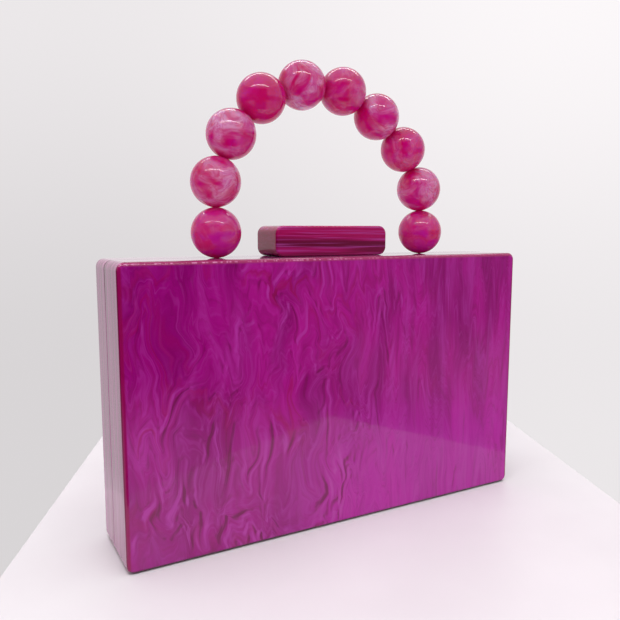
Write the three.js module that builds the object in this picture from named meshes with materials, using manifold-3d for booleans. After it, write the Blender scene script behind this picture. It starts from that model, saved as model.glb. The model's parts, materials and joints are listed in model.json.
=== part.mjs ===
// A hard evening bag: two shallow acrylic trays hinged along the bottom, a lapping clasp bar on top,
// and an arched handle of ten round beads on a wire. Millimetres, +Z up, the front faces -Y, and the
// origin is the middle of the footprint.
import * as THREE from 'three';
import { mergeVertices } from 'three/addons/utils/BufferGeometryUtils.js';
import Module from 'manifold-3d';

const wasm = await Module();
wasm.setup();

// Driving dimensions of the case
const BAG_WIDTH = 200;
const BAG_HEIGHT = 121;
const BAG_DEPTH = 39;
const OUTLINE_RADIUS = 4.5;
const WALL = 3;
const PANEL = 3;
const PANEL_EDGE_ROUND = 1.75;
const SEAM_Y = 2;
const SEAM_GAP = 0.3;

// Driving dimensions of the clasp bar
const BAR_LENGTH = 58;
const BAR_HEIGHT = 13.25;
const BAR_FRONT_Y = -6.5;
const BAR_BACK_Y = 13.5;
const BAR_RADIUS = 3.75;
const BAR_EDGE_ROUND = 0.9;
const SEAT_GAP = 0.3;

// Driving dimensions of the handle
const BEAD_RADIUS = 10.46;
const BEAD_GAP = 0.08;
const BEAD_BORE_RADIUS = 1.3;
const FIRST_BEAD_X = -54.3;
const HANDLE_Y = -1;
// Heading of the step from each bead to the next, in degrees above +X
const BEAD_STEP_HEADINGS = [89.5, 70, 48.5, 20.5, -1.5, -27.5, -42, -61.5, -86.5];
const WIRE_RADIUS = 0.7;
const WIRE_HOLE_RADIUS = 1.15;
// Share of each bore, from either mouth, in which the wire bends towards the next bead
const BEND_SHARE = 0.25;
const WIRE_ANCHOR_RADIUS = 3;
const WIRE_ANCHOR_THICKNESS = 1.5;

// Driving dimensions of the hinge in the bottom seam
const HINGE_AXIS_Z = 1.9;
const HINGE_LENGTH = 140;
const KNUCKLE_COUNT = 7;
const KNUCKLE_GAP = 0.4;
const KNUCKLE_RADIUS = 1.6;
const KNUCKLE_BORE_RADIUS = 0.85;
const PIN_RADIUS = 0.6;
const LEAF_WIDTH = 11;
const LEAF_THICKNESS = 0.6;
const LEAF_GAP = 0.15;
const BARREL_CLEARANCE = 0.35;
const STOP_CHAMFER_DEG = 31;

// Mesh fineness
const CORNER_SIDES = 8;
const EDGE_SEGMENTS = 3;
const BEAD_SIDES = 20;
const BEAD_ROWS = 12;
const ROUND_SIDES = 12;
const WIRE_SIDES = 8;
const WIRE_STEPS = 120;
// An arc in an outline is drawn with two sides for each curve segment
const ARC_SIDES_PER_SEGMENT = 2;

// Sizes that follow from the driving dimensions
const FRONT_Y = -BAG_DEPTH / 2;
const BACK_Y = BAG_DEPTH / 2;
const FRONT_SEAM_Y = SEAM_Y - SEAM_GAP / 2;
const BACK_SEAM_Y = SEAM_Y + SEAM_GAP / 2;
const BEAD_PITCH = 2 * BEAD_RADIUS + BEAD_GAP;
const KNUCKLE_PITCH = HINGE_LENGTH / KNUCKLE_COUNT;
const LEAF_Z = WALL + LEAF_GAP;
const CUT_PAST = 1;

const MATERIALS = {
  panel: new THREE.MeshStandardMaterial({ color: 0x9c1072, roughness: 0.12, metalness: 0 }),
  frame: new THREE.MeshStandardMaterial({ color: 0x8f1a6c, roughness: 0.12, metalness: 0 }),
  bar: new THREE.MeshStandardMaterial({ color: 0x80104c, roughness: 0.15, metalness: 0 }),
  bead: new THREE.MeshStandardMaterial({ color: 0xbe1e6e, roughness: 0.1, metalness: 0 }),
  brass: new THREE.MeshStandardMaterial({ color: 0xb8975a, roughness: 0.35, metalness: 1 }),
  steel: new THREE.MeshStandardMaterial({ color: 0x9a9ca0, roughness: 0.3, metalness: 1 }),
};

// A geometry with only its positions, joined where triangles meet
function welded(geometry) {
  const bare = geometry.index ? geometry.toNonIndexed() : geometry.clone();
  bare.deleteAttribute('normal');
  bare.deleteAttribute('uv');
  return mergeVertices(bare, 1e-4);
}

function toSolid(geometry) {
  const bare = welded(geometry);
  const vertProperties = new Float32Array(bare.attributes.position.array);
  const triVerts = new Uint32Array(bare.index.array);
  return new wasm.Manifold(new wasm.Mesh({ numProp: 3, vertProperties, triVerts }));
}

function toGeometry(solid) {
  const mesh = solid.getMesh();
  const geometry = new THREE.BufferGeometry();
  geometry.setAttribute('position', new THREE.BufferAttribute(new Float32Array(mesh.vertProperties), 3));
  geometry.setIndex(new THREE.BufferAttribute(new Uint32Array(mesh.triVerts), 1));
  geometry.computeVertexNormals();
  return geometry;
}

// A block given by its lowest and highest corners
function block(low, high) {
  const size = high.map((value, axis) => value - low[axis]);
  const middle = high.map((value, axis) => (value + low[axis]) / 2);
  return new THREE.BoxGeometry(...size).translate(...middle);
}

// A round bar along X, from one X to another
function roundAlongX(radius, fromX, toX, y, z) {
  const bar = new THREE.CylinderGeometry(radius, radius, toX - fromX, ROUND_SIDES);
  return bar.rotateZ(Math.PI / 2).translate((fromX + toX) / 2, y, z);
}

// A round bar along Z, from one height to another
function roundAlongZ(radius, x, y, fromZ, toZ) {
  const bar = new THREE.CylinderGeometry(radius, radius, toZ - fromZ, ROUND_SIDES);
  return bar.rotateX(Math.PI / 2).translate(x, y, (fromZ + toZ) / 2);
}

// The outline of a rectangle with round corners, drawn with X to the right and Z up the page
function roundedRectangle(path, halfWidth, lowZ, highZ, radius) {
  path.moveTo(-halfWidth + radius, lowZ);
  path.lineTo(halfWidth - radius, lowZ);
  path.absarc(halfWidth - radius, lowZ + radius, radius, -Math.PI / 2, 0);
  path.lineTo(halfWidth, highZ - radius);
  path.absarc(halfWidth - radius, highZ - radius, radius, 0, Math.PI / 2);
  path.lineTo(-halfWidth + radius, highZ);
  path.absarc(-halfWidth + radius, highZ - radius, radius, Math.PI / 2, Math.PI);
  path.lineTo(-halfWidth, lowZ + radius);
  path.absarc(-halfWidth + radius, lowZ + radius, radius, Math.PI, 1.5 * Math.PI);
  return path;
}

// Extrudes a page outline between two depths, with both end edges rounded by edgeRound
function extrudeInDepth(shape, fromY, toY, edgeRound) {
  const rounded = edgeRound > 0;
  const geometry = new THREE.ExtrudeGeometry(shape, {
    depth: toY - fromY - 2 * edgeRound,
    curveSegments: CORNER_SIDES / ARC_SIDES_PER_SEGMENT,
    bevelEnabled: rounded,
    bevelThickness: edgeRound,
    bevelSize: edgeRound,
    bevelOffset: -edgeRound,
    bevelSegments: EDGE_SEGMENTS,
  });
  return geometry.rotateX(Math.PI / 2).translate(0, toY - edgeRound, 0);
}

const group = new THREE.Group();

function addPiece(name, geometry, material) {
  const mesh = new THREE.Mesh(geometry, material);
  mesh.name = name;
  group.add(mesh);
  return mesh;
}

// The flat plate that closes a tray, its outer edge rounded and its inner face square
function panelPlate(outerY, innerY) {
  const outline = roundedRectangle(new THREE.Shape(), BAG_WIDTH / 2, 0, BAG_HEIGHT, OUTLINE_RADIUS);
  const outward = Math.sign(outerY);
  const farY = innerY - outward * 2 * PANEL_EDGE_ROUND;
  const plate = extrudeInDepth(outline, Math.min(outerY, farY), Math.max(outerY, farY), PANEL_EDGE_ROUND);
  const keep = block(
    [-BAG_WIDTH, Math.min(outerY, innerY), -BAG_HEIGHT],
    [BAG_WIDTH, Math.max(outerY, innerY), 2 * BAG_HEIGHT],
  );
  return toGeometry(toSolid(plate).intersect(toSolid(keep)));
}

// The V in the bottom seam whose two chamfers meet and stop the hinge, with room round the barrel
function hingeRelief() {
  const halfWidth = HINGE_AXIS_Z * Math.tan(THREE.MathUtils.degToRad(STOP_CHAMFER_DEG));
  const past = CUT_PAST / HINGE_AXIS_Z;
  const wedge = new THREE.Shape();
  wedge.moveTo(0, HINGE_AXIS_Z);
  wedge.lineTo(-halfWidth * (1 + past), -CUT_PAST);
  wedge.lineTo(halfWidth * (1 + past), -CUT_PAST);
  wedge.closePath();
  const length = BAG_WIDTH + 2 * CUT_PAST;
  const groove = new THREE.ExtrudeGeometry(wedge, { depth: length, bevelEnabled: false });
  groove.rotateX(Math.PI / 2).rotateZ(Math.PI / 2).translate(-length / 2, SEAM_Y, 0);
  const halfBarrel = HINGE_LENGTH / 2 + BARREL_CLEARANCE;
  const radius = KNUCKLE_RADIUS + BARREL_CLEARANCE;
  const barrelRoom = roundAlongX(radius, -halfBarrel, halfBarrel, SEAM_Y, HINGE_AXIS_Z);
  return toSolid(groove).add(toSolid(barrelRoom));
}

// The wall round a tray, open towards the seam
function frameRing(fromY, toY) {
  const outline = roundedRectangle(new THREE.Shape(), BAG_WIDTH / 2, 0, BAG_HEIGHT, OUTLINE_RADIUS);
  const innerRadius = OUTLINE_RADIUS - WALL;
  const inside = [BAG_WIDTH / 2 - WALL, WALL, BAG_HEIGHT - WALL, innerRadius];
  outline.holes.push(roundedRectangle(new THREE.Path(), ...inside));
  return toSolid(extrudeInDepth(outline, fromY, toY, 0)).subtract(hingeRelief());
}

// Bead centres, walked from the left end of the handle. Each bore runs straight between the points
// where the bead meets its neighbours, so it lies off centre where the arch turns.
function beadPlaces() {
  const halfStep = (heading) => {
    const angle = THREE.MathUtils.degToRad(heading);
    return new THREE.Vector3(Math.cos(angle), 0, Math.sin(angle)).multiplyScalar(BEAD_PITCH / 2);
  };
  const places = [];
  const centre = new THREE.Vector3(FIRST_BEAD_X, HANDLE_Y, BAG_HEIGHT + BEAD_GAP + BEAD_RADIUS);
  const headings = [90, ...BEAD_STEP_HEADINGS, -90];
  for (let bead = 0; bead <= BEAD_STEP_HEADINGS.length; bead += 1) {
    const enter = centre.clone().sub(halfStep(headings[bead]));
    const leave = centre.clone().add(halfStep(headings[bead + 1]));
    places.push({ centre: centre.clone(), enter, leave });
    centre.addScaledVector(halfStep(headings[bead + 1]), 2);
  }
  return places;
}

const PLACES = beadPlaces();
const LEG_XS = [PLACES[0].centre.x, PLACES[PLACES.length - 1].centre.x];

// A drilled ball about its own centre
function beadGeometry({ centre, enter, leave }) {
  const ball = new THREE.SphereGeometry(BEAD_RADIUS, BEAD_SIDES, BEAD_ROWS);
  const along = leave.clone().sub(enter);
  const length = along.length() + 2 * CUT_PAST;
  const bore = new THREE.CylinderGeometry(BEAD_BORE_RADIUS, BEAD_BORE_RADIUS, length, ROUND_SIDES);
  const upright = new THREE.Vector3(0, 1, 0);
  bore.applyQuaternion(new THREE.Quaternion().setFromUnitVectors(upright, along.normalize()));
  const middle = enter.clone().lerp(leave, 0.5).sub(centre);
  bore.translate(middle.x, middle.y, middle.z);
  return toGeometry(toSolid(ball).subtract(toSolid(bore)));
}

// The stiff wire through the beads, with a flat stop inside the case on each leg
function handleWire() {
  const anchorTop = BAG_HEIGHT - WALL - SEAT_GAP;
  const anchorBottom = anchorTop - WIRE_ANCHOR_THICKNESS;
  const legBottom = anchorBottom + WIRE_ANCHOR_THICKNESS / 2;
  const route = [new THREE.Vector3(LEG_XS[0], HANDLE_Y, legBottom)];
  for (const { enter, leave } of PLACES) {
    route.push(enter, enter.clone().lerp(leave, BEND_SHARE), leave.clone().lerp(enter, BEND_SHARE));
  }
  route.push(PLACES[PLACES.length - 1].leave, new THREE.Vector3(LEG_XS[1], HANDLE_Y, legBottom));
  const section = new THREE.Shape();
  section.absarc(0, 0, WIRE_RADIUS, 0, 2 * Math.PI);
  const wire = new THREE.ExtrudeGeometry(section, {
    steps: WIRE_STEPS,
    curveSegments: WIRE_SIDES / ARC_SIDES_PER_SEGMENT,
    bevelEnabled: false,
    extrudePath: new THREE.CatmullRomCurve3(route),
  });
  let solid = toSolid(wire);
  for (const x of LEG_XS) {
    solid = solid.add(toSolid(roundAlongZ(WIRE_ANCHOR_RADIUS, x, HANDLE_Y, anchorBottom, anchorTop)));
  }
  return toGeometry(solid);
}

// One hinge leaf on the floor of a tray: every second knuckle, from firstKnuckle, on its own tab
function hingeLeaf(side, firstKnuckle) {
  const inner = SEAM_Y + side * (KNUCKLE_RADIUS + BARREL_CLEARANCE);
  const outer = SEAM_Y + side * LEAF_WIDTH;
  const leafTop = LEAF_Z + LEAF_THICKNESS;
  const plate = block(
    [-HINGE_LENGTH / 2, Math.min(inner, outer), LEAF_Z],
    [HINGE_LENGTH / 2, Math.max(inner, outer), leafTop],
  );
  let leaf = toSolid(plate);
  for (let knuckle = firstKnuckle; knuckle < KNUCKLE_COUNT; knuckle += 2) {
    const fromX = -HINGE_LENGTH / 2 + knuckle * KNUCKLE_PITCH + KNUCKLE_GAP / 2;
    const toX = fromX + KNUCKLE_PITCH - KNUCKLE_GAP;
    const tabOuter = inner + side * CUT_PAST;
    const tab = block(
      [fromX, Math.min(SEAM_Y, tabOuter), LEAF_Z],
      [toX, Math.max(SEAM_Y, tabOuter), leafTop],
    );
    leaf = leaf.add(toSolid(tab));
    leaf = leaf.add(toSolid(roundAlongX(KNUCKLE_RADIUS, fromX, toX, SEAM_Y, HINGE_AXIS_Z)));
  }
  const halfBore = HINGE_LENGTH / 2 + CUT_PAST;
  const bore = roundAlongX(KNUCKLE_BORE_RADIUS, -halfBore, halfBore, SEAM_Y, HINGE_AXIS_Z);
  return toGeometry(leaf.subtract(toSolid(bore)));
}

// The front half: panel, and a wall drilled for the two legs of the handle
addPiece('front_panel', panelPlate(FRONT_Y, FRONT_Y + PANEL), MATERIALS.panel);
let frontFrame = frameRing(FRONT_Y + PANEL, FRONT_SEAM_Y);
for (const x of LEG_XS) {
  const top = BAG_HEIGHT + CUT_PAST;
  const hole = roundAlongZ(WIRE_HOLE_RADIUS, x, HANDLE_Y, BAG_HEIGHT - WALL - CUT_PAST, top);
  frontFrame = frontFrame.subtract(toSolid(hole));
}
addPiece('front_frame', toGeometry(frontFrame), MATERIALS.frame);

// The back half: panel, wall, and the clasp bar that laps over the front half
addPiece('back_panel', panelPlate(BACK_Y, BACK_Y - PANEL), MATERIALS.panel);
addPiece('back_frame', toGeometry(frameRing(BACK_SEAM_Y, BACK_Y - PANEL)), MATERIALS.frame);
const barLow = BAG_HEIGHT + SEAT_GAP;
const barHigh = barLow + BAR_HEIGHT;
const barOutline = roundedRectangle(new THREE.Shape(), BAR_LENGTH / 2, barLow, barHigh, BAR_RADIUS);
addPiece('clasp_bar', extrudeInDepth(barOutline, BAR_FRONT_Y, BAR_BACK_Y, BAR_EDGE_ROUND), MATERIALS.bar);

// The handle
PLACES.forEach((place, index) => {
  const name = `bead_${String(index + 1).padStart(2, '0')}`;
  const bead = addPiece(name, beadGeometry(place), MATERIALS.bead);
  bead.position.copy(place.centre);
});
addPiece('handle_wire', handleWire(), MATERIALS.steel);

// The hinge
addPiece('hinge_leaf_front', hingeLeaf(-1, 0), MATERIALS.brass);
addPiece('hinge_leaf_back', hingeLeaf(1, 1), MATERIALS.brass);
const halfPin = HINGE_LENGTH / 2 - KNUCKLE_GAP / 2;
addPiece('hinge_pin', roundAlongX(PIN_RADIUS, -halfPin, halfPin, SEAM_Y, HINGE_AXIS_Z), MATERIALS.steel);

export default group;
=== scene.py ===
# %% [markdown]
# # A marbled acrylic box clutch with a bead handle
#
# The bag is a hard box of two shallow trays that shut against each other along a seam in the sides.
# A rounded bar on the top edge is the clasp, and ten large drilled beads on a stiff wire make the
# handle. Everything you see is poured acrylic with a magenta pearl dye that was stirred before it set.
#
# The moving frame comes first. Each acrylic piece below stands in for one of its solids, in metres and
# in the same place. Only the hinge and the wire keep the frame's own shapes.

import json
import math

import bpy
from mathutils import Euler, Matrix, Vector

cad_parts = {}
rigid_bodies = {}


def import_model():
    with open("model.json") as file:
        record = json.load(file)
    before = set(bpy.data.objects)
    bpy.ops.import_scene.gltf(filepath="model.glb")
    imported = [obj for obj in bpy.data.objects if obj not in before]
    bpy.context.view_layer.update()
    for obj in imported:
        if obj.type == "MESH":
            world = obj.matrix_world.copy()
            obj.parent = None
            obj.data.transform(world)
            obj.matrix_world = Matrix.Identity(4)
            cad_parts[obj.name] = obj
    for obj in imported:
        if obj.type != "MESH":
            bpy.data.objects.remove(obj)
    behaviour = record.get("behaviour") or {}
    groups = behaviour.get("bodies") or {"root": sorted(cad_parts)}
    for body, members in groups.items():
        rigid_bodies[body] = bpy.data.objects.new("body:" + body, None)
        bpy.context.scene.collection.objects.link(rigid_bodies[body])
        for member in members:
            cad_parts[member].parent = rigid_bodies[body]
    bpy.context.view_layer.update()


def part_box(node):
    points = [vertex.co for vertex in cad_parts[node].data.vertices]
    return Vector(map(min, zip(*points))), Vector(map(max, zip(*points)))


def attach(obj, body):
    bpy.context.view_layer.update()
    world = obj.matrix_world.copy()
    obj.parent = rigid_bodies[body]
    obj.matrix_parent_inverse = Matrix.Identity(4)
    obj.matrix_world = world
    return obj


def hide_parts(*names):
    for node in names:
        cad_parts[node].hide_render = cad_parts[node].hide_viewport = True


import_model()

# %% [markdown]
# ## The camera
#
# The photo was taken from the left, a little above the top of the case, with a fairly wide lens. We
# place the camera first, because every later choice of edge, colour and light is judged through it.
# Its place was worked out from the corners of the case in the photo, so here it's only typed in.

# %% camera
CAMERA_PLACE = (-0.15376, -0.26088, 0.13289)
CAMERA_YAW = math.radians(29.07)
CAMERA_TILT = math.radians(7.04)
CAMERA_LENS = 37.91
CAMERA_NEAR = 0.01

bpy.ops.object.select_all(action="DESELECT")
bpy.ops.object.camera_add(
    location=CAMERA_PLACE,
    rotation=(math.pi / 2 - CAMERA_TILT, 0, -CAMERA_YAW),
)
camera = bpy.context.object
camera.data.lens = CAMERA_LENS
camera.data.clip_start = CAMERA_NEAR
bpy.context.scene.camera = camera
print("camera", tuple(camera.location), "lens", camera.data.lens)

# %% [markdown]
# ## Picking by place
#
# In edit mode an operator works on what is selected. There is no mouse here, so we choose edges and
# faces by where they lie: a short test is asked of each one, and those that pass are selected.

# %% picking edges and faces
EDGES = (False, True, False)
FACES = (False, False, True)


def pick_nothing(piece, kind):
    """Clears the selection of a piece, outside edit mode, and says which kind is picked next."""
    bpy.ops.object.mode_set(mode="OBJECT")
    bpy.context.tool_settings.mesh_select_mode = kind
    for part in (*piece.data.polygons, *piece.data.edges, *piece.data.vertices):
        part.select = False


def pick_edges(piece, test):
    """Selects the edges whose two ends pass the test, and opens the piece for editing."""
    pick_nothing(piece, EDGES)
    for edge in piece.data.edges:
        first, second = (piece.data.vertices[index].co for index in edge.vertices)
        edge.select = test(first, second)
    bpy.ops.object.mode_set(mode="EDIT")


def pick_faces(piece, test):
    """Selects the faces whose centre and normal pass the test, and opens the piece for editing."""
    pick_nothing(piece, FACES)
    for face in piece.data.polygons:
        face.select = test(face.center, face.normal)
    bpy.ops.object.mode_set(mode="EDIT")


print("picking", {"edges": EDGES, "faces": FACES})

# %% [markdown]
# ## Blocks with round edges
#
# The case is cut from flat acrylic, so nearly every piece starts as a block between two corners. A
# bevel in edit mode rounds its edges, as a router and a buffing wheel do on the real one. We could
# draw each outline as a curve instead, but the bevel also gives even strips of faces at the edges,
# and those shade well.

# %% blocks and bevels
NEAR = 2e-5
CORNER_STEPS = 10


def add_block(name, low, high):
    """A plain block between two corners, with its place in the mesh and not in the object."""
    bpy.ops.object.select_all(action="DESELECT")
    middle = [(a + b) / 2 for a, b in zip(low, high)]
    size = [b - a for a, b in zip(low, high)]
    bpy.ops.mesh.primitive_cube_add(size=1, location=middle, scale=size)
    piece = bpy.context.object
    piece.name = name
    piece.data.name = name
    bpy.ops.object.transform_apply(location=True, rotation=True, scale=True)
    return piece


def round_corners(piece, radius):
    """Rounds the four edges that run in depth, which gives the outline its corners."""
    pick_edges(piece, lambda a, b: abs(a.x - b.x) < NEAR and abs(a.z - b.z) < NEAR)
    bpy.ops.mesh.bevel(offset=radius, segments=CORNER_STEPS, affect="EDGES", clamp_overlap=False)


def round_rim(piece, depth, radius, steps):
    """Rounds the edges that lie in one plane of depth, the rim of a flat face."""
    pick_edges(piece, lambda a, b: abs(a.y - depth) < NEAR and abs(b.y - depth) < NEAR)
    bpy.ops.mesh.bevel(offset=radius, segments=steps, affect="EDGES", clamp_overlap=False)


print("corners have", CORNER_STEPS, "steps")

# %% [markdown]
# ## Finishing a piece
#
# Every piece ends the same way. Slivers left by cutting are merged, faces are turned outwards, and the
# piece is shaded smooth up to an angle. On flat pieces a weighted normal keeps the large faces truly
# flat, which matters on a polished case. Then the frame's solid that the piece stands for is hidden,
# and the piece is attached to the half it moves with.

# %% finishing
SLIVER = 1.5e-5
SMOOTH_ANGLE = math.radians(35)


def finish_piece(piece, solid, body, flat_sides=True):
    """Cleans and shades the piece, hides the solid it stands for, and attaches it to the half it rides.
    """
    bpy.ops.object.mode_set(mode="EDIT")
    bpy.ops.mesh.select_all(action="SELECT")
    bpy.ops.mesh.remove_doubles(threshold=SLIVER)
    bpy.ops.mesh.normals_make_consistent(inside=False)
    bpy.ops.object.mode_set(mode="OBJECT")
    bpy.ops.object.shade_smooth_by_angle(angle=SMOOTH_ANGLE)
    if flat_sides:
        weigh = piece.modifiers.new("keep_flats_flat", "WEIGHTED_NORMAL")
        weigh.keep_sharp = True
        bpy.ops.object.modifier_apply(modifier=weigh.name)
    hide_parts(solid)
    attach(piece, body)
    print(piece.name, len(piece.data.polygons), "faces")


print("points closer than", SLIVER, "m are merged")

# %% [markdown]
# ## The two panels
#
# The front and back of the case are sheets of acrylic, cut with rounded corners. The maker buffs the
# outer rim round, and that round edge is where the case catches its brightest lines. A block is
# enough to start from: we round its four corners, then the rim of its outer face.

# %% panels
CORNER_RADIUS = 0.0034
PANEL_RIM = 0.00175
PANEL_RIM_STEPS = 6


def make_panel(name, body, outer):
    """One sheet in the place of its solid. Outer is 0 for the low side in depth, and 1 for the high."""
    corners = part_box(name)
    panel = add_block(f"{name}_sheet", *corners)
    round_corners(panel, CORNER_RADIUS)
    round_rim(panel, corners[outer].y, PANEL_RIM, PANEL_RIM_STEPS)
    finish_piece(panel, name, body)
    return panel


front_panel = make_panel("front_panel", "front_half", 0)
back_panel = make_panel("back_panel", "back_half", 1)
panels = (front_panel, back_panel)
case_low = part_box("front_panel")[0]
case_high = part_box("back_panel")[1]
print("case", tuple(case_high - case_low))

# %% [markdown]
# ## The two frames
#
# Each half is a shallow tray, and its wall is a frame glued behind the panel. We inset both ends of a
# rounded block, then bridge the two insets, which opens a tunnel through it. Four strips would also
# make a frame, but a bridged block has no joints at its corners. The rims at the seam are eased, so
# that the seam shows as a fine dark line.

# %% frame rings
WALL = 0.003
SEAM_EASE = 0.0003
FINE_RIM_STEPS = 4
CENTRE_REACH = 0.001


def make_frame_ring(name, seam):
    """The wall of one half. Seam is 0 if it lies on the low side in depth, and 1 on the high."""
    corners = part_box(name)
    panel_y = corners[1 - seam].y
    seam_y = corners[seam].y
    ring = add_block(f"{name}_wall", *corners)
    round_corners(ring, CORNER_RADIUS)
    round_rim(ring, seam_y, SEAM_EASE, FINE_RIM_STEPS)
    middle = (corners[0] + corners[1]) / 2
    for end_y, wall in ((panel_y, WALL), (seam_y, WALL - SEAM_EASE)):
        end = Vector((middle.x, end_y, middle.z))
        pick_faces(ring, lambda centre, normal: (centre - end).length < CENTRE_REACH)
        bpy.ops.mesh.inset(thickness=wall, depth=0)
    pick_faces(ring, lambda centre, normal: (centre - middle).xz.length < CENTRE_REACH)
    bpy.ops.mesh.bridge_edge_loops()
    bpy.ops.object.mode_set(mode="OBJECT")
    print(ring.name, "is open, wall", WALL)
    return ring


frames = {
    "front_frame": make_frame_ring("front_frame", 1),
    "back_frame": make_frame_ring("back_frame", 0),
}

# %% [markdown]
# ## The hinge groove and the handle's holes
#
# The hinge lies in a groove along the bottom seam, with a round room for its barrel, and the two legs
# of the handle go through holes in the front wall. On the real case these are routed and drilled. The
# block could carry them as extra edges from the start, but a boolean modifier is closer to the tool:
# the cutter is modelled as the shape that is taken away.

# %% cutters
OVERCUT = 0.001
SAME_POINT = 1e-6
HINGE_Z = 0.0019
GROOVE_SLOPE = math.radians(31)
SEAM_Y = (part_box("front_frame")[1].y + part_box("back_frame")[0].y) / 2


def cut_away(piece, cutter):
    """Takes the cutter's shape out of the piece and puts the cutter away."""
    bpy.ops.object.select_all(action="DESELECT")
    bpy.context.view_layer.objects.active = piece
    piece.select_set(True)
    cut = piece.modifiers.new("cut", "BOOLEAN")
    cut.operation = "DIFFERENCE"
    cut.solver = "EXACT"
    cut.object = cutter
    bpy.ops.object.modifier_apply(modifier=cut.name)
    bpy.data.objects.remove(cutter, do_unlink=True)


def hinge_groove():
    """A wedge under the seam, made from a thin block whose top edge is drawn to the hinge line."""
    half = (HINGE_Z + OVERCUT) * math.tan(GROOVE_SLOPE)
    low = (case_low.x - OVERCUT, SEAM_Y - half, -OVERCUT)
    high = (case_high.x + OVERCUT, SEAM_Y + half, HINGE_Z)
    wedge = add_block("groove", low, high)
    pick_faces(wedge, lambda centre, normal: normal.z > 0.9)
    bpy.ops.transform.resize(value=(1, 0, 1))
    bpy.ops.mesh.select_all(action="SELECT")
    bpy.ops.mesh.remove_doubles(threshold=SAME_POINT)
    bpy.ops.mesh.normals_make_consistent(inside=False)
    bpy.ops.object.mode_set(mode="OBJECT")
    return wedge


def round_bar(name, radius, start, end, sides):
    """A round bar from one point to another, for cutting holes."""
    start = Vector(start)
    along = Vector(end) - start
    bpy.ops.object.select_all(action="DESELECT")
    bpy.ops.mesh.primitive_cylinder_add(
        vertices=sides,
        radius=radius,
        depth=along.length,
        location=start + along / 2,
        rotation=along.to_track_quat("Z", "Y").to_euler(),
    )
    bar = bpy.context.object
    bar.name = name
    bpy.ops.object.transform_apply(location=True, rotation=True, scale=True)
    return bar


print("seam at depth", SEAM_Y, "hinge line at height", HINGE_Z)

# %% cut and finish the frames
HINGE_ROOM_RADIUS = 0.00195
HINGE_ROOM_HALF = 0.07035
HINGE_ROOM_SIDES = 32
LEG_HOLE_RADIUS = 0.00115
LEG_HOLE_FROM = -0.005
LEG_HOLE_TO = 0.002
HOLE_SIDES = 24

for name, body in (("front_frame", "front_half"), ("back_frame", "back_half")):
    ring = frames[name]
    cut_away(ring, hinge_groove())
    ends = [(side * HINGE_ROOM_HALF, SEAM_Y, HINGE_Z) for side in (-1, 1)]
    cut_away(ring, round_bar("hinge_room", HINGE_ROOM_RADIUS, *ends, HINGE_ROOM_SIDES))
    if name == "front_frame":
        for end_bead in ("bead_01", "bead_10"):
            leg = sum(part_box(end_bead), Vector()) / 2
            ends = [(leg.x, leg.y, case_high.z + above) for above in (LEG_HOLE_FROM, LEG_HOLE_TO)]
            cut_away(ring, round_bar("leg_hole", LEG_HOLE_RADIUS, *ends, HOLE_SIDES))
    finish_piece(ring, name, body)

# %% [markdown]
# ## The clasp bar
#
# The clasp is a short bar of the same acrylic, cut so that its streaks run along it. Its ends are
# rounded in front view, and its front and back rims are lightly broken with a polishing wheel. It is
# a block with bevels again, and it sits right down on the case: through even a thin gap the two
# polished faces would mirror the light from behind as a white line.

# %% clasp bar
BAR_RADIUS = 0.00375
BAR_RIM = 0.0009
BAR_SEAT = 0.00003

bar_corners = [corner.copy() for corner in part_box("clasp_bar")]
bar_corners[0].z = case_high.z + BAR_SEAT
clasp_bar = add_block("clasp_bar_block", *bar_corners)
round_corners(clasp_bar, BAR_RADIUS)
for corner in bar_corners:
    round_rim(clasp_bar, corner.y, BAR_RIM, FINE_RIM_STEPS)
finish_piece(clasp_bar, "clasp_bar", "back_half")

# %% [markdown]
# ## The beads
#
# Ten balls of about 21 mm are threaded on the wire in an arch. Where two beads meet, both are ground to
# a small flat, so that they sit tight against each other. First we find the places where they meet:
# half way between two centres, and at the foot of the first and the last bead.

# %% where the beads meet
FLAT_RADIUS = 0.0014
UP = Vector((0, 0, 1))

bead_names = [f"bead_{number:02d}" for number in range(1, 11)]
bead_low, bead_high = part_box(bead_names[0])
bead_radius = (bead_high.y - bead_low.y) / 2
centres = [sum(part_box(name), Vector()) / 2 for name in bead_names]
for name, centre in zip(bead_names[1:-1], centres[1:-1]):
    centre.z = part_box(name)[1].z - bead_radius
half_pitch = (centres[3] - centres[2]).length / 2
ball_radius = math.hypot(half_pitch, FLAT_RADIUS)
below_first = centres[0] - 2 * half_pitch * UP
below_last = centres[-1] - 2 * half_pitch * UP
stations = [below_first, *centres, below_last]
touching = [(a + b) / 2 for a, b in zip(stations, stations[1:])]
print("bead pitch", 2 * half_pitch, "ball radius", ball_radius)

# %% [markdown]
# ## Marking the beads for their swirl
#
# On the real handle no two beads have the same swirl. One finish can serve all ten if each bead carries
# its own coordinates as an attribute, turned and shifted its own way. Two more attributes say how much
# pearl a bead has, and how close a point lies to the next bead, where painted shade and a painted
# reflection of that bead deepen the colour.

# %% marks on a bead
MM = 1000
CONTACT_SHADE_REACH = 0.008
SWIRL_SHIFT = Vector((37, 11, 0))
SWIRL_TURNS = (
    (10, 40, 0), (150, 75, 35), (20, 80, 10), (120, 30, 60), (40, 150, 20),
    (200, 60, 40), (90, 220, 70), (15, 130, 150), (60, 20, 200), (140, 100, 80),
)
PEARL_SHARES = (0.25, 0.7, 0.95, 0.03, 1.0, 0.5, 0.95, 0.28, 0.68, 0.18)
BEAD_MARKS = {"swirl_place": "FLOAT_VECTOR", "pearl_share": "FLOAT", "contact_shade_share": "FLOAT"}


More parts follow.
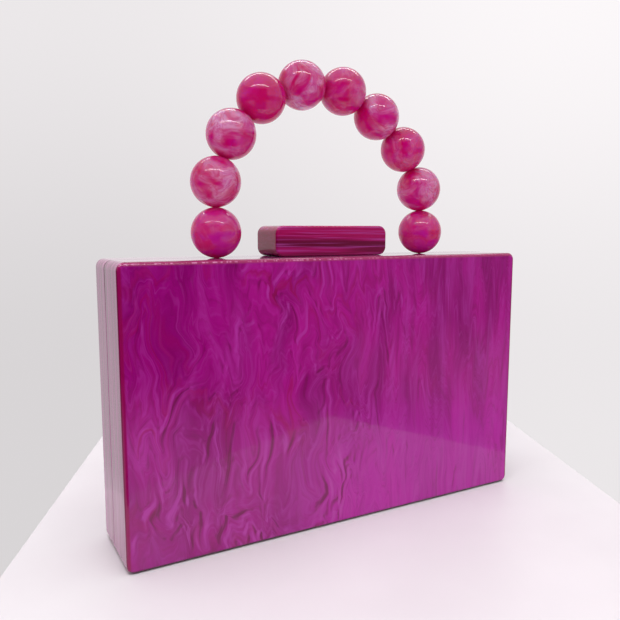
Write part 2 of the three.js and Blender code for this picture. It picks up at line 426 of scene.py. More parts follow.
def mark_bead(bead, index, enter, leave):
    """Gives each point its place in the swirl, its share of pearl, and its nearness to a neighbour for
    painted shade.
    """
    for name, kind in BEAD_MARKS.items():
        bead.data.attributes.new(name, kind, "POINT")
    swirl, pearl, contact_shade = (bead.data.attributes[name] for name in BEAD_MARKS)
    turn = Euler([math.radians(angle) for angle in SWIRL_TURNS[index]])
    for point, vertex in enumerate(bead.data.vertices):
        place = vertex.co - centres[index]
        place.rotate(turn)
        swirl.data[point].vector = place * MM + index * SWIRL_SHIFT
        pearl.data[point].value = PEARL_SHARES[index]
        # the share of painted shade and painted reflection grows towards the next bead
        gap = min((vertex.co - enter).length, (vertex.co - leave).length)
        contact_shade.data[point].value = max(0, 1 - gap / CONTACT_SHADE_REACH)


print("each bead carries", list(BEAD_MARKS))

# %% [markdown]
# ## Turning, grinding and drilling the beads
#
# We make one ball and copy it for each bead, as they all come off one lathe. An ico sphere has even
# triangles and no poles, so its highlights stay clean. A bisect takes a cap off and fills the cut,
# which grinds the flat, and then the bead is drilled from flat to flat, so that the wire can follow
# the arch.

# %% beads
BALL_DETAIL = 5
BORE_RADIUS = 0.0011
BORE_OVERRUN = 0.05


def copy_ball(name, centre):
    """A copy of the ball with its own mesh, moved to a centre."""
    bpy.ops.object.select_all(action="DESELECT")
    ball.select_set(True)
    bpy.context.view_layer.objects.active = ball
    bpy.ops.object.duplicate()
    bead = bpy.context.object
    bead.name = name
    bead.data.name = name
    bead.location = centre
    bpy.ops.object.transform_apply(location=True, rotation=True, scale=True)
    return bead


def grind_flat(bead, point, outward):
    """Takes off the cap of a bead that lies beyond a point."""
    bpy.ops.object.mode_set(mode="EDIT")
    bpy.ops.mesh.select_all(action="SELECT")
    bpy.ops.mesh.bisect(plane_co=point, plane_no=outward, use_fill=True, clear_outer=True)
    bpy.ops.object.mode_set(mode="OBJECT")


bpy.ops.object.select_all(action="DESELECT")
bpy.ops.mesh.primitive_ico_sphere_add(subdivisions=BALL_DETAIL, radius=ball_radius)
ball = bpy.context.object
beads = []
for index, name in enumerate(bead_names):
    bead = copy_ball(f"{name}_ball", centres[index])
    enter, leave = touching[index], touching[index + 1]
    grind_flat(bead, enter, enter - centres[index])
    grind_flat(bead, leave, leave - centres[index])
    beyond = (leave - enter) * BORE_OVERRUN
    cut_away(bead, round_bar("bore", BORE_RADIUS, enter - beyond, leave + beyond, HOLE_SIDES))
    mark_bead(bead, index, enter, leave)
    finish_piece(bead, name, "front_half", flat_sides=False)
    beads.append(bead)
bpy.data.objects.remove(ball, do_unlink=True)

# %% [markdown]
# ## Building finishes from nodes
#
# Each finish is a small network of nodes. Clicking dozens of them together by hand is slow, and so is
# writing out each link, so a few helpers keep it short. One adds a node and joins its inputs, and the
# others are the steps that every finish here is made of: a value that rises smoothly, two colours
# that mix, and a little arithmetic.

# %% nodes
ACRYLIC_IOR = 1.49


def node(tree, kind, inputs=None, **settings):
    """Adds a node. An input is a value, or the output of another node."""
    made = tree.nodes.new("ShaderNode" + kind)
    for name, value in settings.items():
        setattr(made, name, value)
    for name, value in (inputs or {}).items():
        if isinstance(value, bpy.types.NodeSocket):
            tree.links.new(value, made.inputs[name])
        else:
            made.inputs[name].default_value = value
    return made


def new_finish(name):
    """A new material with its tree and its shader, which starts as plain clear-cast acrylic."""
    finish = bpy.data.materials.new(name)
    finish.use_nodes = True
    shader = finish.node_tree.nodes["Principled BSDF"]
    shader.inputs["IOR"].default_value = ACRYLIC_IOR
    return finish, finish.node_tree, shader


def between(tree, value, low, high, to_low=0.0, to_high=1.0):
    """A smooth step of a value between low and high."""
    limits = {"Value": value, "From Min": low, "From Max": high, "To Min": to_low, "To Max": to_high}
    return node(tree, "MapRange", limits, interpolation_type="SMOOTHSTEP").outputs[0]


def blend(tree, share, first, second):
    """Two colours mixed by a share."""
    mixed = node(tree, "Mix", {"Factor": share}, data_type="RGBA")
    for socket, colour in ((mixed.inputs[6], first), (mixed.inputs[7], second)):
        if isinstance(colour, bpy.types.NodeSocket):
            tree.links.new(colour, socket)
        else:
            socket.default_value = (*colour, 1)
    return mixed.outputs[2]


def reckon(tree, kind, first, second):
    """One step of arithmetic."""
    return node(tree, "Math", {0: first, 1: second}, operation=kind).outputs[0]


def times(tree, first, second):
    """Two values multiplied."""
    return reckon(tree, "MULTIPLY", first, second)


def unsigned(tree, value):
    """A value without its sign."""
    return node(tree, "Math", {0: value}, operation="ABSOLUTE").outputs[0]


print("acrylic bends light by", ACRYLIC_IOR)

# %% [markdown]
# ## Streaks and stirring
#
# Dye that is stirred into a pour is drawn out into streaks, and the streaks that lie near each other
# are folded together. A painted picture could show that, but noise can be worked out at any size and
# on every side. So we read noise that is stretched to a streak's shape, and before that we push the
# place where it is read about with slower noise, which is the stirring.

# %% patterns
STIR_REACH = 3
HALF = (0.5, 0.5, 0.5)


def place_in_mm(tree):
    """Object coordinates in millimetres."""
    source = node(tree, "TexCoord").outputs["Object"]
    return node(tree, "Mapping", {"Vector": source, "Scale": (MM, MM, MM)}).outputs[0]


def axes_of(tree, place):
    """The three axes of a place, by name."""
    return node(tree, "SeparateXYZ", {"Vector": place}).outputs


def in_cells(tree, place, cell, start):
    """The place counted in cells of one shape, from a start."""
    spread = [1 / size for size in cell]
    return node(tree, "Mapping", {"Vector": place, "Location": start, "Scale": spread}).outputs[0]


def stirred(tree, place, cell, reach, start=(0, 0, 0), share=None):
    """The place, pushed by up to reach in folds that are about one cell across."""
    values = {"Vector": in_cells(tree, place, cell, start), "Scale": 1, "Detail": 1, "Roughness": 0.4}
    noise = node(tree, "TexNoise", values).outputs["Color"]
    push = node(tree, "VectorMath", {0: noise, 1: HALF}, operation="SUBTRACT").outputs[0]
    if share is not None:
        push = node(tree, "VectorMath", {0: push, "Scale": share}, operation="SCALE").outputs[0]
    far = [STIR_REACH * size for size in reach]
    return node(tree, "VectorMath", {0: push, 1: far, 2: place}, operation="MULTIPLY_ADD").outputs[0]


def streaks(tree, place, cell, detail=2, start=(0, 0, 0), roughness=0.5):
    """Noise that is stretched to one cell's shape, from 0 to 1."""
    values = {"Vector": in_cells(tree, place, cell, start), "Scale": 1}
    values.update({"Detail": detail, "Roughness": roughness})
    return node(tree, "TexNoise", values).outputs["Fac"]


def buff(tree, shader, smudge, smooth, dull):
    """Roughness from smooth to dull in soft smudges, as a buffing wheel leaves it."""
    tree.links.new(between(tree, smudge, 0.3, 0.7, smooth, dull), shader.inputs["Roughness"])


def ripple(tree, shader, height, strength, distance):
    """The slight unevenness of a polished surface."""
    bump = node(tree, "Bump", {"Height": height, "Strength": strength, "Distance": distance})
    tree.links.new(bump.outputs[0], shader.inputs["Normal"])


print("patterns are read in millimetres,", MM, "to the metre")

# %% [markdown]
# ## The marbled sheet
#
# The dye was poured in bands and a comb was drawn through it, down and up, so its folds hang like
# cloth: long and straight on the right, short and tangled on the left, and broad at the lower left. We
# do the same to the place that the bands are read at: first it is stirred, then combed, which only
# moves it in height.

# %% stirring and combing the sheet
STIR_ROUNDS = (  # cell, reach, start
    ((28, 60, 30), (6, 0, 8), (3.1, 0, 1.7)),
    ((12, 40, 14), (2.6, 0, 4.6), (0.4, 0, 7.3)),
    ((5, 20, 6), (0.8, 0, 1.4), (5.2, 0, 2.2)),
)


def stir_dye(tree, place, tangle):
    """The place after three rounds of stirring, each finer than the last."""
    for cell, reach, start in STIR_ROUNDS:
        place = stirred(tree, place, cell, reach, start, tangle)
    return place


def comb_dye(tree, place, pull, fine_pull):
    """The place after a wide comb and a fine one, which both pull it up and down."""
    combed = stirred(tree, place, (8, 60, 60), (0, 0, 27), (5.2, 0, 2.2), pull)
    return stirred(tree, combed, (2.8, 60, 40), (0, 0, 8), (2.7, 0, 6.1), fine_pull)


marbled, tree, shader = new_finish("marbled_sheet")
place = place_in_mm(tree)
axes = axes_of(tree, place)
tangle = between(tree, axes["X"], -10, 55, 1.0, 0.25)
pull = between(tree, axes["X"], -30, 50, 0.8, 1.5)
low_left = times(tree, between(tree, axes["Z"], 75, 25), between(tree, axes["X"], 15, -45))
fine_pull = times(tree, pull, between(tree, low_left, 0.0, 1.0, 1.0, 0.35))
pushed = stir_dye(tree, place, tangle)
folded = comb_dye(tree, pushed, pull, fine_pull)
print("stirred and combed with", len(tree.nodes), "nodes")

# %% [markdown]
# ## The light and dark side of a fold
#
# Pearl dye looks like silk because each fold turns its flakes: one side of it catches the light and
# the other falls into shade. Here both are painted: reading the bands a second time about a millimetre
# away, and taking the difference, gives every fold a painted sheen on one side and painted shade on
# the other. A bump would only show where a light happens to graze the sheet.

# %% folds of the sheet
BESIDE = (1.3, 0, -1.0)
BANDS = (  # cell, start, detail, share
    ((34, 60, 17), (4.2, 0, 8.2), 2, 1.0),
    ((20, 60, 8), (1.2, 0, 3.2), 2, 0.5),
    ((10, 60, 3.6), (6.2, 0, 1.2), 1, 0.16),
)


def paint_fold_sheen_shade(tree, folded, nearby):
    """How much the bands rise from one place to the next, painted as sheen and shade on each fold."""
    total = None
    for cell, start, detail, share in BANDS:
        here = streaks(tree, folded, cell, detail, start)
        there = streaks(tree, nearby, cell, detail, start)
        step = times(tree, reckon(tree, "SUBTRACT", here, there), share)
        total = step if total is None else reckon(tree, "ADD", total, step)
    return total


beside = node(tree, "Mapping", {"Vector": place, "Location": BESIDE}).outputs[0]
nearby = comb_dye(tree, stir_dye(tree, beside, tangle), pull, fine_pull)
# the painted sheen and shade of the folds, from the bands read here and beside
fold_sheen_shade = paint_fold_sheen_shade(tree, folded, nearby)
calm = streaks(tree, place, (20, 60, 26), 1, (8.5, 0, 3.3))
fold_sheen_shade = times(tree, fold_sheen_shade, between(tree, calm, 0.36, 0.64, 0.5, 1.25))
fold_sheen_shade = times(tree, fold_sheen_shade, between(tree, axes["X"], -10, 50, 1.25, 0.55))
deeper = reckon(tree, "ADD", times(tree, low_left, 0.6), 1.0)
fold_sheen_shade = times(tree, fold_sheen_shade, deeper)
print("folds read from", len(BANDS), "bands,", len(tree.nodes), "nodes so far")

# %% [markdown]
# ## The dyes of the sheet
#
# The sheet isn't one magenta. It is deeper on the left, paler and bluer towards the foot on the right,
# and veined with pearl, plum and a little crimson. Each dye is laid over the last with its own share,
# broad clouds first and fine threads last, in the order in which the eye sorts them.

# %% dyes of the sheet
DARK_DYE = (0.29, 0.001, 0.165)
LIGHT_DYE = (0.43, 0.004, 0.25)
LOW_DYE = (0.5, 0.008, 0.39)
DEEP_DYE = (0.25, 0.0004, 0.15)
PEARL = (0.49, 0.042, 0.39)
PLUM = (0.16, 0.001, 0.065)
CRIMSON = (0.34, 0.0013, 0.085)

broad = streaks(tree, pushed, (13, 60, 48), 2, (1.3, 0, 0.2), 0.4)
body = blend(tree, between(tree, broad, 0.34, 0.66), DARK_DYE, LIGHT_DYE)
low_right = times(
    tree, between(tree, axes["Z"], 70, 25), between(tree, axes["X"], -70, 20, 0.15, 0.65)
)
body = blend(tree, low_right, body, LOW_DYE)
upper_left = times(tree, between(tree, axes["X"], -30, -90), between(tree, axes["Z"], 45, 80))
body = blend(tree, times(tree, upper_left, 0.55), body, DEEP_DYE)
body = blend(tree, times(tree, low_left, 0.45), body, DEEP_DYE)
drawn = streaks(tree, pushed, (3, 60, 42), 2, (3.7, 0, 1.9))
straight = between(tree, axes["X"], -20, 50, 0.7, 1.0)
pale_share = times(tree, between(tree, drawn, 0.46, 0.8, 0.0, 0.42), straight)
body = blend(tree, pale_share, body, PEARL)
dark_share = times(tree, between(tree, drawn, 0.5, 0.2, 0.0, 0.38), straight)
body = blend(tree, dark_share, body, PLUM)
veil = streaks(tree, folded, (26, 60, 30), 2, (2.6, 0, 5.9))
body = blend(tree, between(tree, veil, 0.5, 0.74, 0.0, 0.3), body, PEARL)
threads = streaks(tree, folded, (14, 60, 2.4), 2, (9.4, 0, 4.4))
body = blend(tree, between(tree, threads, 0.5, 0.28, 0.0, 0.26), body, PLUM)
body = blend(tree, between(tree, threads, 0.5, 0.72, 0.0, 0.22), body, PEARL)
# painted sheen in pearl on the pale side of each fold, and painted shade in plum on the dark side
body = blend(tree, between(tree, fold_sheen_shade, 0.0, 0.4, 0.0, 0.65), body, PEARL)
body = blend(tree, between(tree, fold_sheen_shade, 0.0, -0.4, 0.0, 0.85), body, PLUM)
red = streaks(tree, folded, (30, 60, 8), 1, (11.9, 0, 6.6))
to_left = between(tree, axes["X"], 30, -30, 0.15, 0.6)
red_share = times(tree, between(tree, red, 0.56, 0.76), to_left)
red_share = times(tree, red_share, between(tree, axes["Z"], 25, 60, 0.3, 1.0))
body = blend(tree, red_share, body, CRIMSON)
print("dyes laid with", len(tree.nodes), "nodes so far")

# %% [markdown]
# ## The rim and the polish of the sheet
#
# Towards its edge the sheet is thin and shows red, then painted shade makes it nearly black where it
# turns away, and a painted shadow lies along its foot. On the buffed top rim a painted highlight in
# fine dashes stands for the broken glint of the polish. These follow the edge, so they are told by the
# distance to it. The polish itself is almost a mirror, with faint smudges.

# %% rim and polish of the sheet
RIM_RED = (0.28, 0.002, 0.07)
RIM_SHADE = (0.14, 0.002, 0.035)
FOOT_SHADOW = (0.08, 0.001, 0.035)
GLINT = (0.62, 0.2, 0.42)

to_side = reckon(tree, "SUBTRACT", MM * case_high.x, unsigned(tree, axes["X"]))
to_top = reckon(tree, "SUBTRACT", MM * case_high.z, axes["Z"])
to_edge = reckon(tree, "MINIMUM", to_side, to_top)
body = blend(tree, between(tree, to_edge, 1.9, 1.1, 0.0, 0.85), body, RIM_RED)
# painted shade: the outermost half millimetre of the rim turns nearly black
body = blend(tree, between(tree, to_edge, 0.5, 0.1, 0.0, 0.85), body, RIM_SHADE)
# painted shadow: a dark line along the foot of the sheet, where it stands on the board
body = blend(tree, between(tree, axes["Z"], 1.5, 0.8, 0.0, 0.95), body, FOOT_SHADOW)
# painted highlight: pale dashes along the top rim, strongest on the left
glint_dashes = between(tree, streaks(tree, place, (1.6, 60, 60), 2, (0.4, 0, 0)), 0.48, 0.62)
glint_share = times(tree, between(tree, to_top, 1.3, 1.0), between(tree, to_top, 0.55, 0.75))
glint_share = times(tree, glint_share, between(tree, axes["X"], 40, -40, 0.1, 0.8))
body = blend(tree, times(tree, glint_share, glint_dashes), body, GLINT)
tree.links.new(body, shader.inputs["Base Color"])
buff(tree, shader, streaks(tree, place, (30, 30, 30), 4, (1, 2, 3)), 0.04, 0.08)
ripple(tree, shader, streaks(tree, place, (9, 9, 14), 2, (4, 4, 4)), 0.03, 0.0004)

for panel in panels:
    panel.data.materials.append(marbled)
print("marbled sheet", len(tree.nodes), "nodes")

# %% [markdown]
# ## The streaked wall
#
# The walls are strips cut from the edge of the sheet, so all you see on them is fine straight lines
# that run round the case. Depth alone tells the lines apart, with a slow drift along their length, and
# near its foot the wall is paler with a painted reflection of the floor. The seam is dark at the top
# and closes further down. The edges of the two sheets show the same lines, so they get the same finish
# and no joint shows.

# %% streaked wall
WALL_DARK = (0.21, 0.025, 0.11)
WALL_PALE = (0.41, 0.1, 0.265)
WALL_FLOOR_REFLECTION = (0.52, 0.26, 0.4)
SEAM_DARK = (0.05, 0.001, 0.014)
SIDE_FACING = 0.15

streaked, tree, shader = new_finish("streaked_wall")
place = place_in_mm(tree)
axes = axes_of(tree, place)
drift = stirred(tree, place, (60, 20, 60), (0, 1.2, 0), (2, 0, 5))
lines = streaks(tree, drift, (140, 1.6, 140), 3, (0.7, 0.2, 0.4), 0.6)
body = blend(tree, between(tree, lines, 0.35, 0.65), WALL_DARK, WALL_PALE)
# painted reflection of the floor: the wall turns paler towards its foot
body = blend(tree, between(tree, axes["Z"], 42, 26, 0.0, 0.4), body, WALL_FLOOR_REFLECTION)
off_seam = unsigned(tree, reckon(tree, "SUBTRACT", axes["Y"], MM * SEAM_Y))
seam_share = between(tree, axes["Z"], 96, 114, 0.1, 0.95)
seam_share = times(tree, between(tree, off_seam, 0.6, 0.35), seam_share)
body = blend(tree, seam_share, body, SEAM_DARK)
tree.links.new(body, shader.inputs["Base Color"])
buff(tree, shader, streaks(tree, place, (24, 24, 24), 4, (5, 1, 2)), 0.03, 0.07)
ripple(tree, shader, lines, 0.02, 0.0003)

for ring in frames.values():
    ring.data.materials.append(streaked)
for panel in panels:
    panel.data.materials.append(streaked)
    for face in panel.data.polygons:
        face.material_index = 1 if abs(face.normal.y) < SIDE_FACING else 0
print("streaked wall", len(tree.nodes), "nodes")

# %% [markdown]
# ## The clasp's acrylic
#
# The bar was cut along the pour: a crimson band lies along its top, pale lilac lines below it, then a
# maroon band, and crimson again at its foot. So the streaks are long in width and short in height
# and depth, and the bands are told apart by height. The cut ends show the plain crimson.

# %% clasp acrylic
BAR_MAROON = (0.2, 0.002, 0.055)
BAR_ROSE = (0.38, 0.003, 0.12)
BAR_CRIMSON = (0.42, 0.002, 0.1)
BAR_SHADE = (0.12, 0.0008, 0.03)
BAR_LILAC = (0.46, 0.06, 0.36)
BAR_DARK_LINE = (0.12, 0.0008, 0.034)
BAR_END = (0.26, 0.002, 0.055)

clasp_finish, tree, shader = new_finish("clasp_pour")
place = place_in_mm(tree)
drift = stirred(tree, place, (40, 14, 9), (0, 1.0, 0.7), (1.5, 0, 2))
lines = streaks(tree, drift, (55, 5, 1.0), 2, (0.3, 4.4, 1.9), 0.55)
bands = streaks(tree, drift, (70, 7, 3.4), 1, (2.3, 1.4, 0.4))
height = axes_of(tree, drift)["Z"]
body = blend(tree, between(tree, bands, 0.36, 0.62), BAR_MAROON, BAR_ROSE)
body = blend(tree, between(tree, height, 128.0, 130.5, 0.0, 0.75), body, BAR_CRIMSON)
low_band = times(tree, between(tree, height, 124.6, 125.8), between(tree, height, 128.2, 127.0))
body = blend(tree, times(tree, low_band, 0.7), body, BAR_SHADE)
body = blend(tree, between(tree, lines, 0.5, 0.68, 0.0, 0.7), body, BAR_LILAC)
body = blend(tree, between(tree, lines, 0.46, 0.32, 0.0, 0.6), body, BAR_DARK_LINE)
normal = node(tree, "TexCoord").outputs["Normal"]
facing = unsigned(tree, axes_of(tree, normal)["X"])
body = blend(tree, between(tree, facing, 0.75, 0.95, 0.0, 0.85), body, BAR_END)
tree.links.new(body, shader.inputs["Base Color"])
smudge = streaks(tree, place, (14, 14, 14), 4, (8, 1, 2))
buff(tree, shader, smudge, 0.04, 0.08)
ripple(tree, shader, smudge, 0.03, 0.0003)

clasp_bar.data.materials.append(clasp_finish)
print("clasp acrylic", len(tree.nodes), "nodes")

# %% [markdown]
# ## The bead acrylic
#
# The beads are turned from a redder pour with more pearl in it. The swirl reads each bead's own
# coordinates, and its share of pearl, so one bead can stay nearly plain while the next is milky. The
# lowest beads get a painted reflection of the magenta case near their foot, broken into purple swirl
# patches, and all of them get painted shade and a painted reflection of the neighbour, deep crimson,
# where they touch.

# %% bead acrylic
BEAD_CRIMSON = (0.48, 0.001, 0.12)
BEAD_ROSE = (0.5, 0.003, 0.22)
BEAD_PEARL = (0.66, 0.4, 0.63)
BEAD_CASE_REFLECTION = (0.45, 0.004, 0.31)
BEAD_CONTACT_SHADE = (0.45, 0.001, 0.09)
FOOT_WAVE = -14

bead_finish, tree, shader = new_finish("bead_pour")
place = node(tree, "Attribute", attribute_name="swirl_place").outputs["Vector"]
pearl = node(tree, "Attribute", attribute_name="pearl_share").outputs["Fac"]
contact_shade = node(tree, "Attribute", attribute_name="contact_shade_share").outputs["Fac"]
folded = stirred(tree, place, (15, 15, 15), (6, 6, 6), (1, 2, 3))
folded = stirred(tree, folded, (6, 6, 7), (2, 2, 2), (4, 0, 1))
milk = streaks(tree, folded, (8, 8, 12), 2, (2, 5, 1), 0.5)
wisp = streaks(tree, folded, (1.1, 1.1, 9), 2, (7, 3, 2), 0.6)
deep = streaks(tree, folded, (7, 7, 12), 1, (6, 1, 8))
body = blend(tree, between(tree, deep, 0.3, 0.7), BEAD_CRIMSON, BEAD_ROSE)
milk_share = times(tree, between(tree, milk, 0.36, 0.7), pearl)
wisp_share = between(tree, wisp, 0.3, 0.7, 0.35, 1.0)
body = blend(tree, times(tree, milk_share, wisp_share), body, BEAD_PEARL)
height = axes_of(tree, place_in_mm(tree))["Z"]
foot_line = node(tree, "Math", {0: milk, 1: FOOT_WAVE, 2: height}, operation="MULTIPLY_ADD").outputs[0]
patches = between(tree, deep, 0.4, 0.58, 0.1, 0.85)
# painted reflection of the magenta case near the foot of the lowest beads, in swirl patches
body = blend(tree, times(tree, between(tree, foot_line, 125, 122), patches), body, BEAD_CASE_REFLECTION)
# painted shade and a painted reflection of the neighbour, deep crimson, where beads touch
body = blend(tree, between(tree, contact_shade, 0.1, 0.8, 0.0, 0.9), body, BEAD_CONTACT_SHADE)
tree.links.new(body, shader.inputs["Base Color"])
buff(tree, shader, streaks(tree, place, (8, 8, 8), 3, (3, 3, 3)), 0.03, 0.06)
print("bead acrylic", len(tree.nodes), "nodes")

# %% [markdown]
# ## Light inside the beads
#
# Light goes a little way into the pearl before it comes out again, so the beads get scattering under
# the surface, red furthest. Real beads also let some light right through. Tracing that would make the
# render slow and noisy, so a faint even glow stands for it.

# %% light inside the beads
for socket, value in (
    ("IOR", 1.46),
    ("Subsurface Weight", 1),
    ("Subsurface Radius", (1.0, 0.06, 0.2)),
    ("Subsurface Scale", 0.011),
    ("Emission Strength", 0.1),
    ("Emission Color", (0.6, 0.002, 0.11, 1)),
):
    shader.inputs[socket].default_value = value

for bead in beads:
    bead.data.materials.append(bead_finish)
print("finish on", len(beads), "beads")

# %% [markdown]
# ## The metals
#
# The hinge, its pin and the wire in the handle keep the frame's own shapes, because they hardly show.
# The hinge is drawn brass, with fine lines along its length, and the wire and the pin are plain
# bright steel. One function makes both from two tones and the shape of their lines.

# %% metals
METAL_IOR = 1.5
LINE_DULLING = 0.14
BRASS_TONES = ((0.45, 0.27, 0.07), (0.72, 0.5, 0.18))
STEEL_TONES = ((0.4, 0.4, 0.41), (0.66, 0.66, 0.66))


def metal(name, tones, cell, rough):
    """A drawn metal of a dark and a bright tone, whose lines have the shape of one cell."""
    dark, bright = tones
    finish, tree, shader = new_finish(name)
    place = place_in_mm(tree)
    lines = streaks(tree, place, cell, 4, (1, 1, 1), 0.6)
    cloud = streaks(tree, place, (12, 12, 12), 2, (2, 1, 5))
    tone = blend(tree, between(tree, lines, 0.3, 0.7), dark, bright)
    tone = blend(tree, between(tree, cloud, 0.5, 0.75, 0.0, 0.35), tone, dark)
    tree.links.new(tone, shader.inputs["Base Color"])
    buff(tree, shader, lines, rough, rough + LINE_DULLING)
    shader.inputs["Metallic"].default_value = 1
    shader.inputs["IOR"].default_value = METAL_IOR
    return finish


brass = metal("drawn_brass", BRASS_TONES, cell=(40, 0.5, 0.5), rough=0.22)
steel = metal("bright_steel", STEEL_TONES, cell=(2, 0.6, 2), rough=0.18)
for name, finish in (
    ("hinge_leaf_front", brass),
    ("hinge_leaf_back", brass),
    ("hinge_pin", steel),
    ("handle_wire", steel),
):
    metal_piece = bpy.data.objects[name]
    metal_piece.data.materials.clear()
    metal_piece.data.materials.append(finish)
    print(name, finish.name)

# %% [markdown]
# ## The floor
#
# The bag stands on a plain pale board. An endless plane would do for the shadow, but a board ends a
# little way off, and its mirrored edge shows as a faint line in the polish of the front, which tells
# the eye that the case is glossy.

# %% floor
BOARD_TURN = math.radians(-24)
BOARD_SIDE = 0.276
BOARD_THICKNESS = 0.02
BOARD_MIDDLE = (0.011, 0.011)
BOARD_EDGE = 0.0006
BOARD_DULL = (0.68, 0.64, 0.665)
BOARD_PALE = (0.71, 0.67, 0.695)
BOARD_ROUGHNESS = 0.45
BOARD_IOR = 1.5

bpy.ops.object.select_all(action="DESELECT")
bpy.ops.mesh.primitive_cube_add(
    size=1,
    location=(*BOARD_MIDDLE, -BOARD_THICKNESS / 2),
    rotation=(0, 0, BOARD_TURN),
    scale=(BOARD_SIDE, BOARD_SIDE, BOARD_THICKNESS),
)
board = bpy.context.object
board.name = "floor_board"
bpy.ops.object.transform_apply(location=True, rotation=True, scale=True)
bpy.ops.object.mode_set(mode="EDIT")
bpy.ops.mesh.select_all(action="SELECT")
bpy.ops.mesh.bevel(offset=BOARD_EDGE, segments=2, affect="EDGES")
bpy.ops.object.mode_set(mode="OBJECT")
board_finish, tree, shader = new_finish("pale_board")
mottle = streaks(tree, place_in_mm(tree), (60, 60, 60), 3, (1, 7, 2))
body = blend(tree, between(tree, mottle, 0.3, 0.7), BOARD_DULL, BOARD_PALE)
tree.links.new(body, shader.inputs["Base Color"])
shader.inputs["Roughness"].default_value = BOARD_ROUGHNESS
shader.inputs["IOR"].default_value = BOARD_IOR
board.data.materials.append(board_finish)
print("board", tuple(board.dimensions))

# %% [markdown]
# ## What the polish mirrors
#
# A polished case shows its surroundings more than its own colour, so they are worth building. Panels
# of card would do it, as in a photo studio, but here the world itself is painted by direction. It is
# bright behind the bag, overhead and to both sides, and dim in front, where the camera stands: that
# keeps the front's colour deep while the narrow sides turn pale.

# %% mirrored studio
LOOK_AHEAD = Vector((math.sin(CAMERA_YAW), math.cos(CAMERA_YAW), 0))
LOOK_RIGHT = Vector((math.cos(CAMERA_YAW), -math.sin(CAMERA_YAW), 0))

studio = bpy.data.worlds.new("studio")
bpy.context.scene.world = studio
studio.use_nodes = True
tree = studio.node_tree
tree.nodes.clear()
toward = node(tree, "TexCoord").outputs["Generated"]
rise = axes_of(tree, toward)["Z"]
ahead = node(tree, "VectorMath", {0: toward, 1: LOOK_AHEAD}, operation="DOT_PRODUCT").outputs["Value"]
aside = node(tree, "VectorMath", {0: toward, 1: LOOK_RIGHT}, operation="DOT_PRODUCT").outputs["Value"]
rightward = node(tree, "Math", {0: ahead, 1: 0.62, 2: aside}, operation="MULTIPLY_ADD").outputs[0]
leftward = reckon(tree, "SUBTRACT", times(tree, ahead, 0.5), aside)
right_side = between(tree, rightward, -0.05, 0.08, 0.0, 0.75)
left_side = between(tree, leftward, 0.05, 1.1, 0.0, 0.55)
sides = reckon(tree, "MAXIMUM", right_side, left_side)
sides = times(tree, sides, between(tree, rise, -0.02, 0.15))
overhead = between(tree, rise, 0.5, 0.68, 0.0, 1.2)
far_right = between(tree, aside, 0.66, 1.0, 0.0, 0.22)
ground = between(tree, rise, -0.2, -0.36, 0.0, 0.66)
ground = times(tree, ground, between(tree, unsigned(tree, aside), 0.3, 0.6))
ground_right = between(tree, rise, -0.05, -0.24, 0.0, 0.6)
ground_right = times(tree, ground_right, between(tree, aside, 0.75, 1.0))
light = between(tree, ahead, 0.0, 0.75, 0.015, 0.87)
for part in (sides, overhead, far_right, ground, ground_right):
    light = reckon(tree, "MAXIMUM", light, part)
ground_left = times(tree, between(tree, aside, -0.35, -0.55), between(tree, rise, -0.02, -0.08))
light = times(tree, light, between(tree, ground_left, 0.0, 1.0, 1.0, 0.89))
print("mirrored studio", len(tree.nodes), "nodes")

# %% [markdown]
# ## What the camera sees, and what lights the bag
#
# The backdrop behind the bag is an even pale grey that brightens upwards and to the right. The light
# path tells apart who is asking: the camera gets the backdrop, a polished surface gets the mirrored
# studio, and everything else gets one soft even light, which keeps the noise low.

# %% backdrop and soft light
STUDIO_WHITE = (1.0, 0.985, 1.0, 1)
BACKDROP_GREY = (1.0, 0.965, 0.98, 1)
SOFT_LIGHT = 0.6

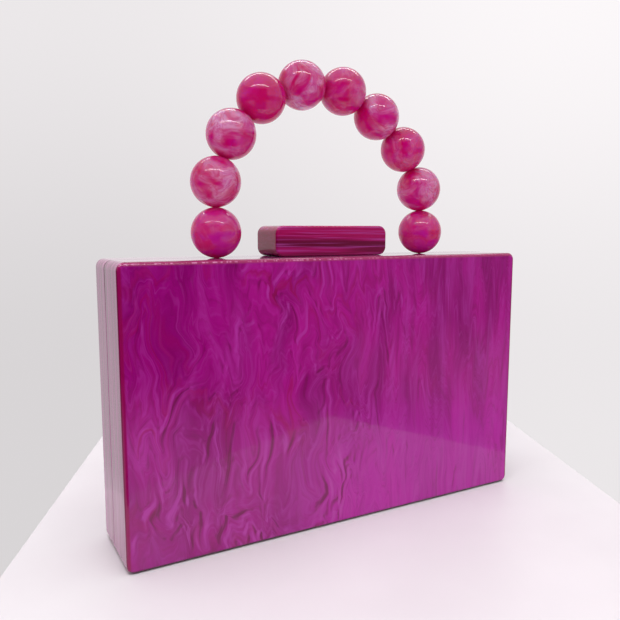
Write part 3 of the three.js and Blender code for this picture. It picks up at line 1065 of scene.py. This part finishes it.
mirrored = node(tree, "Background", {"Color": STUDIO_WHITE, "Strength": light})
soft = node(tree, "Background", {"Color": STUDIO_WHITE, "Strength": SOFT_LIGHT})
shade = between(tree, rise, -0.2, 0.35, 0.69, 0.84)
shade = reckon(tree, "ADD", shade, between(tree, aside, -0.35, 0.4, 0.0, 0.14))
backdrop = node(tree, "Background", {"Color": BACKDROP_GREY, "Strength": shade})
rays = node(tree, "LightPath").outputs
glow = node(tree, "MixShader", {0: rays["Is Glossy Ray"], 1: soft.outputs[0], 2: mirrored.outputs[0]})
seen = node(tree, "MixShader", {0: rays["Is Camera Ray"], 1: glow.outputs[0], 2: backdrop.outputs[0]})
node(tree, "OutputWorld", {"Surface": seen.outputs[0]})
bpy.context.scene.view_settings.view_transform = "Standard"
print("studio", len(tree.nodes), "nodes")

# %% [markdown]
# ## The lights
#
# Two long strip lights hang over the bag, one nearer the camera and one behind. Each bead mirrors both
# as thin arcs, so their places can be read off the photo's highlights. A wide soft light above does the
# rest, but it would burn out the tops of the beads, so light linking keeps it off them and gives them
# a gentler one from the front.

# %% lights
TARGET = Vector((0, 0, 0.15))


def hang_light(name, ahead, right, up, distance, length, width, power):
    """A light that hangs level, seen from the bag in one direction, and faces the bag."""
    direction = (ahead * LOOK_AHEAD + right * LOOK_RIGHT + up * UP).normalized()
    bpy.ops.object.light_add(type="AREA", location=TARGET + direction * distance)
    lamp = bpy.context.object
    lamp.name = name
    lamp.data.shape = "RECTANGLE"
    lamp.data.size = length
    lamp.data.size_y = width
    lamp.data.energy = power
    lamp.rotation_mode = "QUATERNION"
    lamp.rotation_quaternion = (-direction).to_track_quat("-Z", "Y")
    print(name, tuple(round(part, 2) for part in lamp.location))
    return lamp


near_strip = hang_light(
    "near_strip", ahead=-0.62, right=0, up=0.785, distance=1.6, length=2.4, width=0.09, power=10
)
far_strip = hang_light(
    "far_strip", ahead=0.555, right=0, up=0.831, distance=1.8, length=2.6, width=0.12, power=9
)
top_fill = hang_light(
    "top_fill", ahead=-0.22, right=0, up=0.975, distance=1.7, length=1.6, width=1.6, power=33.5
)
front_fill = hang_light(
    "front_fill", ahead=-0.85, right=-0.1, up=0.5, distance=1.2, length=1.2, width=1.2, power=5
)
for strip in (near_strip, far_strip):
    strip.visible_diffuse = False
for lamp, share in ((top_fill, "EXCLUDE"), (front_fill, "INCLUDE")):
    lamp.visible_glossy = False
    lit = bpy.data.collections.new(f"{lamp.name}_on_beads")
    for bead in beads:
        lit.objects.link(bead)
    for row in lit.collection_objects:
        row.light_linking.link_state = share
    lamp.light_linking.receiver_collection = lit
